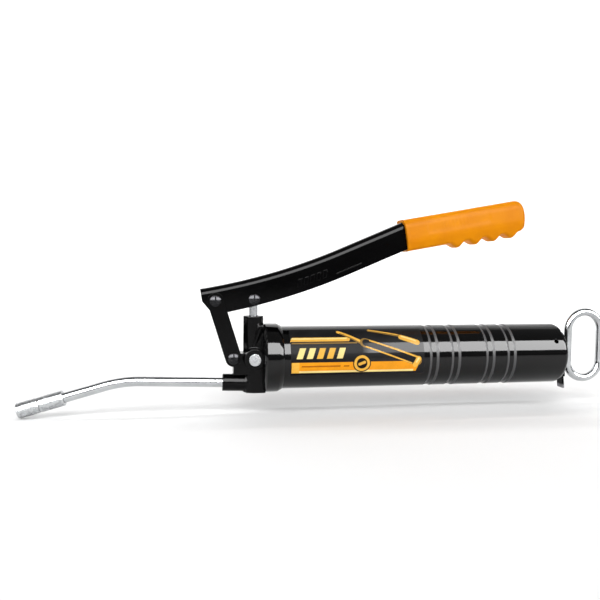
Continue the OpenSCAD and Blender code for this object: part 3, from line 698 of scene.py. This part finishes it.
def cutBy(piece, cutter):
    modifier = piece.modifiers.new("cut", "BOOLEAN")
    modifier.operation = "DIFFERENCE"
    modifier.solver = "EXACT"
    modifier.object = cutter
    bakeModifiers(piece)
    bpy.data.objects.remove(cutter)


def bakeModifiers(piece):
    # turns what the modifiers make into the piece's own mesh
    bpy.context.view_layer.update()
    graph = bpy.context.evaluated_depsgraph_get()
    made = bpy.data.meshes.new_from_object(piece.evaluated_get(graph))
    piece.modifiers.clear()
    piece.data = made


def tempObject(mesh, name):
    data = bpy.data.meshes.new(name)
    bmesh.ops.recalc_face_normals(mesh, faces=mesh.faces)
    mesh.to_mesh(data)
    mesh.free()
    piece = addObject(name, data)
    return piece


def makeCasting(values):
    x, r, bottom = values["pumpX"], values["pumpRadius"], values["bottom"]
    low = midOf("link_pin_lower")
    mesh = bmesh.new()
    addRod(mesh, (x, 0, bottom), (x, 0, values["pumpTop"]), r)
    addBlock(mesh, (x, -r, bottom), (values["backX"], r, bottom + values["backHeight"]))
    t = math.radians(values["noseTilt"])
    ahead = Vector((-math.cos(t), 0, math.sin(t)))
    nose = Vector((x, 0, values["noseZ"]))
    wide = values["noseRadius"]
    addRod(mesh, nose, nose + ahead * values["noseLength"], wide)
    addBlock(mesh, (x - values["footFront"], -wide, bottom), (x + values["footBack"], wide, bottom + wide))
    half = values["lugWidth"] / 2
    addRod(mesh, (low.x, -half, low.z), (low.x, half, low.z), values["lugRadius"])
    addBlock(mesh, (low.x, -half, values["lugLow"]), (x, half, values["lugTop"]))
    bossZ = values["sideBossZ"]
    addRod(mesh, (x, -values["sideBossReach"], bossZ), (x, 0, bossZ), values["sideBossRadius"])
    for side in (1, -1):
        a, b = (Vector((p[0], p[1] * side, p[2])) * mm for p in (values["feedFrom"], values["feedTo"]))
        addRod(mesh, a, b, values["feedRadius"], values["feedRadius"] * values["feedSpread"])
    piece = tempObject(mesh, "headCasting")
    remesh = piece.modifiers.new("cast", "REMESH")
    remesh.mode = "VOXEL"
    remesh.voxel_size = values["voxel"]
    smooth = piece.modifiers.new("fillets", "SMOOTH")
    smooth.factor = values["smoothFactor"]
    smooth.iterations = values["smooth"]
    bakeModifiers(piece)
    past = values["holePast"]
    bore = ((x, 0, values["boreFloor"]), (x, 0, values["pumpTop"] + past), values["bore"])
    socket = (nose + ahead * values["socketFrom"] * mm, nose + ahead * (values["noseLength"] + past),
              values["socketRadius"])
    for start, end, radius in (bore, socket):
        hole = bmesh.new()
        addRod(hole, start, end, radius, segments=values["holeSegments"])
        cutBy(piece, tempObject(hole, "hole"))
    mesh = bmesh.new()
    mesh.from_mesh(piece.data)
    bpy.data.objects.remove(piece)
    makePiece(mesh, "headCasting", "gun", "black cast enamel", ["pump_head"], sharp=55)


def makeCollar(values):
    # the small offsets break each corner of the turned outline
    f, big, rear, bore = values["front"], values["radius"], values["rearRadius"], values["bore"]
    bevel, back, wall = values["frontBevel"], values["rearStart"], values["wall"]
    points = [(f, 0), (f, big - bevel - 0.4 * mm), (f + 0.15 * mm, big - bevel)]
    points += [(f + bevel - 0.2 * mm, big - 0.15 * mm), (f + bevel + 0.3 * mm, big)]
    points += [(back - 0.3 * mm, big), (back + 0.2 * mm, big - 0.1 * mm)]
    points += [(-0.4 * mm, rear + 0.1 * mm), (0, rear - 0.25 * mm), (0, bore)]
    points += [(f + wall, bore), (f + wall, 0)]
    turned = lathe(points, values["steps"])
    makePiece(turned, "headCollar", "gun", "gloss black enamel", sharp=30)


makeCasting(head)
makeCollar(collar)
print("pump head built")


# link, latch, bleeder: CAD shapes with softened edges
softened = {
    "link": ("linkPlates", "link", "gloss black enamel", "black_paint", 0.7),
    "rod_latch": ("latchPlate", "latch", "gloss black enamel", "steel", 0.3),
    "latch_bracket": ("latchEars", "gun", "gloss black enamel", "black_paint", 0.3),
    "bleeder_body": ("bleederPlug", "gun", "zinc plate", "chrome", 0.4),
    "plunger": ("plungerRod", "plunger", "chrome plate", "chrome", 0.35),
}


def makeSoftened(table):
    for node, (name, body, finish, slotName, width) in table.items():
        mesh = cadCopy(node)
        softenEdges(mesh, width * mm)
        makePiece(mesh, name, body, finish, [node], sharp=35, flat=True)


makeSoftened(softened)
print("softened pieces built")


# loop handle: one bent wire, welded to the rod
loop = {
    "outerWidth": 42 * mm, "outerHeight": 73 * mm, "wire": 7.5 * mm, "ring": 20, "arc": 28,
    "bead": 1.5 * mm, "beadSteps": 40, "beadSink": 0.1 * mm, "beadToe": 0.05 * mm,
    "ripples": 11, "rippleDepth": 0.18 * mm, "beadFlatten": 0.8,
}


def makeLoop(values):
    middle = midOf("handle_loop")
    radius = values["wire"] / 2
    bend = values["outerWidth"] / 2 - radius
    straight = values["outerHeight"] - 2 * (bend + radius)
    mesh = bmesh.new()
    ring = bmesh.ops.create_circle(mesh, cap_ends=False, radius=radius, segments=values["ring"])["verts"]
    bmesh.ops.translate(mesh, verts=ring, vec=(middle.x + bend, 0, middle.z - straight / 2))
    edges = mesh.edges[:]
    for side in (1, -1):
        made = bmesh.ops.extrude_edge_only(mesh, edges=edges)["geom"]
        verts, edges = vertsIn(made), edgesIn(made)
        bmesh.ops.translate(mesh, verts=verts, vec=(0, 0, side * straight))
        turnCentre = (middle.x, 0, middle.z + side * straight / 2)
        spun = bmesh.ops.spin(mesh, geom=edges + verts, cent=turnCentre, axis=(0, -1, 0), steps=values["arc"],
                              angle=math.radians(180), use_merge=False, use_duplicate=False)
        edges = edgesIn(spun["geom_last"])
    bmesh.ops.remove_doubles(mesh, verts=mesh.verts, dist=1e-6)
    bmesh.ops.recalc_face_normals(mesh, faces=mesh.faces)
    makePiece(mesh, "loopHandle", "follower", "chrome plate", ["handle_loop"], sharp=60)
    # fillet of weld metal round the rod
    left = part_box("handle_loop")[0][0]
    rod = (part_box("follower_rod")[1][2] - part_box("follower_rod")[0][2]) / 2
    bead, sunk = values["bead"], rod - values["beadSink"]
    points = [(left - bead, sunk), (left - bead, rod + values["beadToe"])]
    points += [(left - 0.45 * bead, rod + 0.3 * bead), (left + 0.1 * bead, rod + 0.62 * bead)]
    points += [(left + 0.9 * bead, rod + 0.5 * bead), (left + 0.9 * bead, sunk)]
    weld = lathe(points, values["beadSteps"])
    for v in weld.verts:
        turn = math.atan2(v.co.z, v.co.y)
        v.co.x += values["rippleDepth"] * math.sin(values["ripples"] * turn)
        v.co.y *= values["beadFlatten"]
    makePiece(weld, "loopWeld", "follower", "chrome plate", sharp=60)


makeLoop(loop)
print("loop handle built")


# coupler: knurled body and sleeve
coupler = {
    "radius": 6.8 * mm, "knurl": 0.32 * mm, "around": 44, "rows": 0.95 * mm, "groove": 0.35 * mm,
    "land": 2.2 * mm,
    "split": 21 * mm, "length": 39.6 * mm, "gap": 0.3 * mm, "bodyBore": 4.62 * mm, "sleeveBore": 5.78 * mm,
    "bevel": 0.5 * mm, "knurlInset": 1.4,
}


def knurledTube(values, start, end, bore):
    # rings along Z over the outside and back through the bore; every other point of the knurl is pulled in
    count, full, drawn = values["around"], values["radius"], values["radius"] - values["groove"]
    bevel, land = values["bevel"], values["land"]
    mesh = bmesh.new()
    ring = bmesh.ops.create_circle(mesh, cap_ends=False, radius=drawn, segments=count)["verts"]
    bmesh.ops.translate(mesh, verts=ring, vec=(0, 0, start))
    edges = mesh.edges[:]
    first, last = start + land + values["knurlInset"] * bevel, end - land - values["knurlInset"] * bevel
    rows = int((last - first) / values["rows"])
    stations = [(start + bevel, full, 0), (start + land, full, 0), (start + land + bevel / 2, drawn, 0)]
    stations += [(first + (last - first) * i / rows, full, values["knurl"]) for i in range(rows + 1)]
    stations += [(end - land - bevel / 2, drawn, 0), (end - land, full, 0)]
    stations += [(end - bevel, full, 0), (end, drawn, 0)]
    stations += [(end, bore, 0), (start, bore, 0), (start, drawn, 0)]
    for row, (height, radius, depth) in enumerate(stations):
        made = bmesh.ops.extrude_edge_only(mesh, edges=edges)["geom"]
        edges = edgesIn(made)
        for v in vertsIn(made):
            turn = math.atan2(v.co.y, v.co.x)
            place = round(turn / (2 * math.pi) * count)
            r = radius - depth * ((place + row) % 2)
            v.co = (r * math.cos(turn), r * math.sin(turn), height)
    bmesh.ops.remove_doubles(mesh, verts=mesh.verts, dist=1e-6)
    return mesh


def couplerFrame():
    # Z runs from the coupler's rear face to its mouth
    mouth = [m for m in frame["record"]["mounts"] if m["name"] == "coupler_mouth"][0]
    axis = Vector(mouth["axis"]).normalized()
    end = Vector(mouth["pos_m"]) + axis * mouth["dims"]["length_mm"] * mm / 2
    rear = end - axis * coupler["length"]
    return Matrix.Translation(rear) @ axis.to_track_quat("Z", "Y").to_matrix().to_4x4()


def makeCoupler(values):
    place = couplerFrame()
    middle, half = values["split"], values["gap"] / 2
    body = knurledTube(values, 0, middle - half, values["bodyBore"])
    sleeve = knurledTube(values, middle + half, values["length"], values["sleeveBore"])
    for mesh, name, node in ((body, "couplerBody", "coupler_body"),
                             (sleeve, "couplerSleeve", "coupler_sleeve")):
        bmesh.ops.transform(mesh, verts=mesh.verts, matrix=place)
        makePiece(mesh, name, "gun", "zinc plate", [node], sharp=25)


makeCoupler(coupler)
print("coupler built")


# springs: coils copied from the CAD model
springs = {
    # joint, way it moves, travel, whether the far end along that way is the one that stays
    "follower_spring": ("follower_slide", (1, 0, 0), 200 * mm, True),
    "check_spring": ("check_ball_lift", (-0.999391, 0, 0.034899), 1 * mm, True),
    "bleeder_spring": ("bleeder_press", (0, 1, 0), 1 * mm, True),
    "coupler_spring": ("coupler_piston_slide", (0.964095, 0, 0.265556), 1.5 * mm, True),
    "latch_spring": ("latch_tilt", (1, 0, 0), 1 * mm, False),
}


def makeSprings(table):
    for node, (joint, way, travel, farStays) in table.items():
        mesh = bmesh.new()
        mesh.from_mesh(frame["nodes"][node].data)
        way = Vector(way).normalized()
        name = node.split("_")[0] + "Coil"
        piece = makePiece(mesh, name, "gun", "plain steel", [node], sharp=60)
        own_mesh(piece)


makeSprings(springs)
print("springs built")


# barrel's rolled edges, drawn as painted highlight lines, and its printed label
barrelBandHighlights = {
    "edges": (134.6, 141.2, 155.6, 162.2, 189.2, 195.8, 210.2, 216.8), "half": 1.5 * mm,
    "core": 0.55, "color": (0.06, 0.06, 0.062, 1), "rough": 0.45, "specular": 0.3,
}


def makeBarrelFinish(values):
    # gloss enamel with grey lines painted along the edges of the rolled bands as painted highlights, and
    # duller gloss there
    material, tree, shader = copyFinish("gloss black enamel", "barrel enamel")
    shader.inputs["Specular IOR Level"].default_value = values["specular"]
    along = splitVector(tree, objectPlace(tree))[0]
    mask = None
    for x in values["edges"]:
        near = math2(tree, "ABSOLUTE", math2(tree, "SUBTRACT", along, x * mm))
        line = mapRange(tree, near, values["half"] * values["core"], values["half"], 1.0, 0.0)
        mask = line if mask is None else math2(tree, "MAXIMUM", mask, line)
    color = shader.inputs["Base Color"].links[0].from_socket
    rough = shader.inputs["Roughness"].links[0].from_socket
    # painted highlight: grey colour laid along each band edge where light would catch it
    feed(tree, shader.inputs["Base Color"], mixColor(tree, mask, color, values["color"]))
    mix = addNode(tree, "ShaderNodeMix", data_type="FLOAT")
    feed(tree, mix.inputs[0], mask)
    feed(tree, mix.inputs[2], rough)
    mix.inputs[3].default_value = values["rough"]
    feed(tree, shader.inputs["Roughness"], mix.outputs[0])
    return material


printSoftness = 0.00012


def makeStroke():
    # 1 inside a round-ended stroke from A to B, on the unrolled surface
    tree, given, out = startGroup(
        "printStroke",
        [("Place", "NodeSocketVector", None), ("A", "NodeSocketVector", (0, 0, 0)),
         ("B", "NodeSocketVector", (0.01, 0, 0)), ("Half", "NodeSocketFloat", 0.001)],
        [("Mask", "NodeSocketFloat")])
    toPlace = vectorMath(tree, "SUBTRACT", given["Place"], given["A"])
    toEnd = vectorMath(tree, "SUBTRACT", given["B"], given["A"])
    reached, whole = (vectorMath(tree, "DOT_PRODUCT", v, toEnd, "Value") for v in (toPlace, toEnd))
    along = scaleVector(tree, toEnd, math2(tree, "DIVIDE", reached, whole, clamp=True))
    away = vectorMath(tree, "LENGTH", vectorMath(tree, "SUBTRACT", toPlace, along), output="Value")
    over = math2(tree, "SUBTRACT", away, given["Half"])
    feed(tree, out["Mask"], mapRange(tree, over, -printSoftness, printSoftness, 1.0, 0.0))
    return tree


def makeBlock():
    # 1 inside a leaning block: Middle, Size (half width, half height, lean)
    tree, given, out = startGroup(
        "printBlock",
        [("Place", "NodeSocketVector", None), ("Middle", "NodeSocketVector", (0, 0, 0)),
         ("Size", "NodeSocketVector", (0.01, 0.002, 0))],
        [("Mask", "NodeSocketFloat")])
    place, middle, size = (splitVector(tree, given[label]) for label in ("Place", "Middle", "Size"))
    up = math2(tree, "SUBTRACT", place[1], middle[1])
    level = math2(tree, "SUBTRACT", place[0], middle[0])
    across = math2(tree, "SUBTRACT", level, math2(tree, "MULTIPLY", up, size[2]))
    inside = []
    for value, half in ((across, size[0]), (up, size[1])):
        over = math2(tree, "SUBTRACT", math2(tree, "ABSOLUTE", value), half)
        inside.append(mapRange(tree, over, -printSoftness, printSoftness, 1.0, 0.0))
    feed(tree, out["Mask"], math2(tree, "MULTIPLY", inside[0], inside[1]))
    return tree


# places are (mm along the barrel, degrees round it from the near side, upwards)
labelPrint = {
    "radius": 28.6, "paper": (0.006, 0.006, 0.007, 1), "paperB": (0.01, 0.01, 0.011, 1),
    "amber": (0.95, 0.36, 0.012, 1), "gold": (0.93, 0.5, 0.07, 1),
    "pale": (1.0, 0.78, 0.3, 1), "dim": (0.3, 0.17, 0.035, 1), "deep": (0.5, 0.14, 0.004, 1),
    "mattEnd": 74 * mm, "rough": (0.4, 0.6), "coat": (0.02, 0.3), "coatOnInk": 0.5,
    "mattSoft": 4 * mm, "specular": 0.04, "coatRoughness": 0.06, "smudgeScale": 60.0,
    "inkGrain": (900.0, 90.0, 0.4), "inkFrom": (0.3, 0.7), "inkShade": (0.86, 1.06),
    "relief": (0.6, 0.15), "bump": (0.25, 0.0001),
    # kind, colour, then: block = x0, x1, low, high, lean; stroke = x0, angle0, x1, angle1, half width in mm
    "marks": (
        ("block", "amber", 6.2, 118.0, -21.5, -2.0, 0.0), ("block", "amber", 112.0, 122.0, -21.5, -2.0, 0.35),
        ("block", "pale", 6.2, 118.0, -21.5, -17.5, 0.0), ("block", "gold", 6.2, 13.0, -21.5, -2.0, 0.0),
        ("block", "deep", 15.0, 50.0, -10.6, -7.8, 0.3), ("block", "deep", 53.0, 58.0, -10.6, -7.8, 0.3),
        ("block", "gold", 6.5, 60.0, 36.0, 44.5, 0.6), ("block", "pale", 6.5, 57.0, 40.5, 43.5, 0.6),
        ("block", "dim", 6.5, 66.0, 31.5, 34.0, 0.6),
        ("block", "pale", 12.0, 17.5, 4.5, 23.5, 0.35), ("block", "pale", 21.0, 26.5, 4.5, 23.5, 0.35),
        ("block", "gold", 30.0, 35.5, 4.5, 23.5, 0.35), ("block", "gold", 39.0, 44.5, 4.5, 23.5, 0.35),
        ("block", "pale", 48.0, 53.5, 4.5, 23.5, 0.35),
        ("stroke", "gold", 50.0, 57.5, 75.0, 28.0, 1.6), ("stroke", "dim", 51.5, 53.5, 74.0, 25.5, 0.7),
        ("stroke", "dim", 79.0, 61.0, 106.0, 47.0, 1.5), ("stroke", "gold", 79.0, 62.5, 105.0, 49.0, 0.5),
        ("stroke", "gold", 108.0, 43.0, 122.0, 32.0, 2.6), ("stroke", "pale", 108.5, 45.0, 121.0, 35.0, 0.7),
        ("stroke", "dim", 73.0, 33.0, 121.0, -2.0, 4.4), ("stroke", "paper", 74.0, 33.0, 119.0, -1.0, 3.3),
        ("stroke", "gold", 78.0, 36.5, 121.0, 5.0, 0.7), ("stroke", "gold", 74.0, 25.0, 116.0, -6.0, 0.6),
        ("stroke", "gold", 122.5, 1.5, 119.5, -9.0, 2.4), ("stroke", "pale", 122.5, 2.5, 120.5, -4.0, 0.8),
        ("stroke", "paper", 69.6, -5.0, 69.7, -5.0, 8.2), ("stroke", "gold", 69.6, -5.0, 69.7, -5.0, 7.2),
        ("stroke", "paper", 69.6, -5.0, 69.7, -5.0, 4.8), ("stroke", "gold", 67.5, -6.5, 72.0, -3.0, 1.3),
    ),
}


def unrolled(x, degrees):
    return Vector((x, math.radians(degrees) * labelPrint["radius"], 0)) * mm


def makeLabelFinish(values):
    stroke, block = makeStroke(), makeBlock()
    material, tree, shader = startFinish("printed label", Specular_IOR_Level=values["specular"],
                                         Coat_Roughness=values["coatRoughness"])
    split = splitVector(tree, objectPlace(tree))
    turn = math2(tree, "ARCTAN2", split[2], math2(tree, "MULTIPLY", split[1], -1.0))
    joined = addNode(tree, "ShaderNodeCombineXYZ")
    feed(tree, joined.inputs[0], split[0])
    feed(tree, joined.inputs[1], math2(tree, "MULTIPLY", turn, values["radius"] * mm))
    place = joined.outputs[0]
    smudge = useGroup(tree, handledRoughness, Low=0.0, High=1.0, Scale=values["smudgeScale"])
    color = mixColor(tree, smudge["Tone"], values["paper"], values["paperB"])
    printed = None
    for kind, ink, *sizes in values["marks"]:
        if kind == "block":
            x0, x1, low, high, lean = sizes
            a, b = unrolled(x0, low), unrolled(x1, high)
            size = Vector(((b.x - a.x) / 2, (b.y - a.y) / 2, lean))
            mask = useGroup(tree, block, Place=place, Middle=(a + b) / 2, Size=size)["Mask"]
        else:
            x0, angle0, x1, angle1, half = sizes
            a, b = unrolled(x0, angle0), unrolled(x1, angle1)
            mask = useGroup(tree, stroke, Place=place, A=a, B=b, Half=half * mm)["Mask"]
        color = mixColor(tree, mask, color, values[ink])
        printed = mask if printed is None else math2(tree, "MAXIMUM", printed, mask)
    # ink lightens a little in broad soft bands
    worn = addGrain(tree, {"grain": values["inkGrain"]})
    shade = mapRange(tree, worn, *values["inkFrom"], *values["inkShade"])
    feed(tree, shader.inputs["Base Color"], scaleVector(tree, color, shade))
    feed(tree, shader.inputs["Roughness"], mapRange(tree, smudge["Tone"], 0.0, 1.0, *values["rough"]))
    # the clear film is worn matt over the first part of the label, and thin over ink
    edge, soft = values["mattEnd"], values["mattSoft"]
    film = mapRange(tree, split[0], edge - soft, edge + soft, *values["coat"])
    thin = mapRange(tree, printed, 0.0, 1.0, 1.0, values["coatOnInk"])
    feed(tree, shader.inputs["Coat Weight"], math2(tree, "MULTIPLY", film, thin, clamp=True))
    ofInk, ofWear = (math2(tree, "MULTIPLY", value, share)
                     for value, share in zip((printed, worn), values["relief"]))
    bumpInto(tree, shader, math2(tree, "ADD", ofInk, ofWear), *values["bump"])
    return material


latchTip = {
    "height": 4.5 * mm, "color": (0.3, 0.3, 0.31, 1), "grain": (1500.0, 400.0, 0.4),
    "uneven": 0.0015, "band": (0.7, 1.2),
}


def makeTipFinish(name, node, values):
    # gloss enamel rubbed through to grey metal at the node's lower tip
    material, tree, shader = copyFinish("gloss black enamel", name)
    height = splitVector(tree, objectPlace(tree))[2]
    uneven = math2(tree, "MULTIPLY", addGrain(tree, values), values["uneven"])
    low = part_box(node)[0][2]
    start, end = (low + values["height"] * share for share in values["band"])
    mask = mapRange(tree, math2(tree, "ADD", height, uneven), start, end, 1.0, 0.0)
    color = shader.inputs["Base Color"].links[0].from_socket
    feed(tree, shader.inputs["Base Color"], mixColor(tree, mask, color, values["color"]))
    return material


finishes["worn latch"] = makeTipFinish("worn latch", "rod_latch", latchTip)
bpy.data.objects["latchPlate"].data.materials[0] = finishes["worn latch"]
finishes["barrel enamel"] = makeBarrelFinish(barrelBandHighlights)
finishes["printed label"] = makeLabelFinish(labelPrint)
bpy.data.objects["headCollar"].data.materials[0] = finishes["barrel enamel"]
for node, finish in (("barrel", "barrel enamel"), ("barrel_label", "printed label"),
                     ("bleeder_button", "zinc plate")):
    frame["nodes"][node].data.materials[0] = finishes[finish]
print("barrel and label finished")


# floor, light and camera
studio = {
    "floorColor": (0.86, 0.86, 0.86, 1), "floorRoughness": 0.9, "floorGap": 0.0005, "floorSize": 7.0,
    "sweep": 1.6, "sweepSteps": 16, "backShare": 0.5, "wallHeight": 3, "shift": 0.05, "world": 0.2,
}
# place, target, size, power, and whether it lights matt surfaces and shows in glossy ones
lights = {
    "keyLight": ((-0.5, -1.3, 1.5), (0.05, 0, 0.05), (1.4, 1.0), 27, True, False),
    "fillLight": ((1.2, -1.2, 0.7), (0.1, 0, 0.05), (1.0, 1.0), 6, True, False),
    "stripeLight": ((0.1, -0.66, 0.5), (0.1, 0, 0.0), (3.6, 0.56), 115, False, True),
    "backLight": ((0.2, 1.0, 1.3), (0.1, 0, 0.05), (2.4, 0.6), 2.5, True, True),
    "backdropLight": ((0.05, 0.9, 2.2), (0.05, 3.2, 0.8), (5.0, 1.2), 160, True, False),
}
camera = {
    "place": (-0.0824, -0.5859, 0.0911), "azimuth": -9.707, "elevation": 3.727, "roll": 0.5, "lens": 39.0,
    "sensor": 36.0, "clip": 0.01,
}


def makeFloor(values, low):
    mesh = bmesh.new()
    half = values["floorSize"] / 2
    back = half * values["backShare"]
    outline = ((-half, -half, 0), (half, -half, 0), (half, back, 0), (-half, back, 0))
    face = mesh.faces.new([mesh.verts.new(p) for p in outline])
    backEdge = max(face.edges, key=lambda e: (e.verts[0].co.y + e.verts[1].co.y))
    turned = bmesh.ops.spin(mesh, geom=[backEdge], cent=(0, back, values["sweep"]), axis=(1, 0, 0),
                            angle=math.radians(90), steps=values["sweepSteps"],
                            use_merge=False, use_duplicate=False)
    raised = bmesh.ops.extrude_edge_only(mesh, edges=edgesIn(turned["geom_last"]))
    bmesh.ops.translate(mesh, verts=vertsIn(raised["geom"]), vec=(0, 0, values["wallHeight"]))
    bmesh.ops.translate(mesh, verts=mesh.verts, vec=(values["shift"], 0, low - values["floorGap"]))
    bmesh.ops.recalc_face_normals(mesh, faces=mesh.faces)
    data = bpy.data.meshes.new("studioFloor")
    mesh.to_mesh(data)
    mesh.free()
    for polygon in data.polygons:
        polygon.use_smooth = True
    material = startFinish("pale floor", Roughness=values["floorRoughness"],
                           Base_Color=values["floorColor"])[0]
    data.materials.append(material)
    addObject("studioFloor", data)


def addLight(name, place, target, size, power, diffuse, glossy):
    data = bpy.data.lights.new(name, "AREA")
    data.shape = "RECTANGLE"
    data.size, data.size_y = size
    data.energy = power
    light = addObject(name, data)
    light.location = place
    light.rotation_euler = (Vector(target) - Vector(place)).to_track_quat("-Z", "Y").to_euler()
    light.visible_diffuse = diffuse
    light.visible_glossy = glossy


def makeWorld(strength):
    world = bpy.data.worlds.new("studio")
    world.use_nodes = True
    background = world.node_tree.nodes["Background"]
    background.inputs[0].default_value = (1, 1, 1, 1)
    background.inputs[1].default_value = strength
    bpy.context.scene.world = world


makeFloor(studio, cadBox[0][2])
for name, settings in lights.items():
    addLight(name, *settings)
makeWorld(studio["world"])


def makeCamera(values):
    a, e, r = (math.radians(values[k]) for k in ("azimuth", "elevation", "roll"))
    away = Vector((math.sin(a) * math.cos(e), -math.cos(a) * math.cos(e), math.sin(e)))
    right = (-away).cross(Vector((0, 0, 1))).normalized()
    up = right.cross(-away)
    across = math.cos(r) * right + math.sin(r) * up
    above = math.cos(r) * up - math.sin(r) * right
    data = bpy.data.cameras.new("camera")
    data.lens = values["lens"]
    data.sensor_width = values["sensor"]
    data.clip_start = values["clip"]
    item = addObject("camera", data)
    turn = Matrix((across, above, away)).transposed().to_4x4()
    item.matrix_world = Matrix.Translation(values["place"]) @ turn
    bpy.context.scene.camera = item


makeCamera(camera)
bpy.context.scene.view_settings.view_transform = "Standard"
print("studio and camera set")
